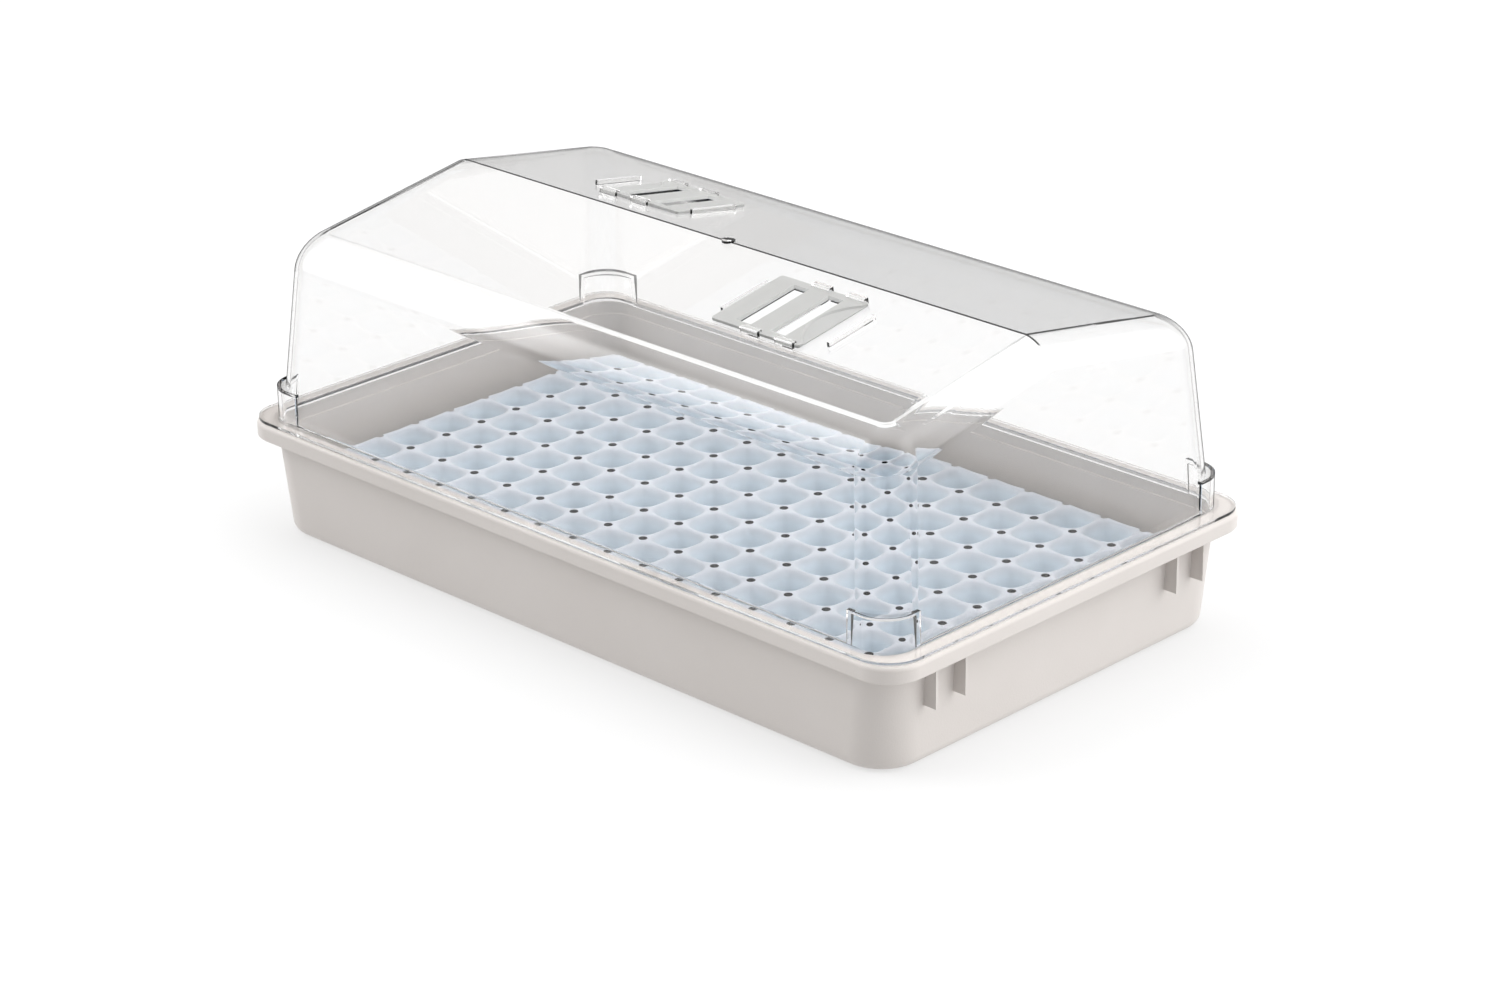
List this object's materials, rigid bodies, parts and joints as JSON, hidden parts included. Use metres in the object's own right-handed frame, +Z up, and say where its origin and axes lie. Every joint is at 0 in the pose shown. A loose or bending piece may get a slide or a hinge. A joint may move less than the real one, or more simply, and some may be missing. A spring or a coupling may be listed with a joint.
{
  "type": "humidity dome tray",
  "caption": "Rectangular seedling tray with a cell insert and a clear ridged lift-off dome that has sliding roof vents.",
  "frame": {"origin": "middle of the tray's underside, on the surface it stands on", "axes": "+Z up, +X along the long side and the roof ridge, front vent on the -Y slope"},
  "size_m": [0.6, 0.343, 0.2342],
  "materials": {
    "tray_plastic": "satin off-white moulded polypropylene",
    "insert_plastic": "soft satin pale blue moulded plastic",
    "clear_plastic": "water-clear polished injection-moulded plastic",
    "vent_plastic": "lightly smoked clear plastic"
  },
  "bodies": {
    "tray": {"base_tray": "tray_plastic"},
    "insert": {"cell_insert": "insert_plastic"},
    "dome": {"dome": "clear_plastic"},
    "front_vent": {"front_vent_slider": "vent_plastic"},
    "rear_vent": {"rear_vent_slider": "vent_plastic"}
  },
  "joints": [
    {"name": "insert_lift", "type": "slide", "parent": "tray", "child": "insert", "axis": [0, 0, 1], "range_m": [0, 0.085]},
    {"name": "dome_lift", "type": "slide", "parent": "tray", "child": "dome", "axis": [0, 0, 1], "range_m": [0, 0.16]},
    {"name": "front_vent_slide", "type": "slide", "parent": "dome", "child": "front_vent", "axis": [1, 0, 0], "range_m": [0, 0.0132]},
    {"name": "rear_vent_slide", "type": "slide", "parent": "dome", "child": "rear_vent", "axis": [-1, 0, 0], "range_m": [0, 0.0132]}
  ]
}
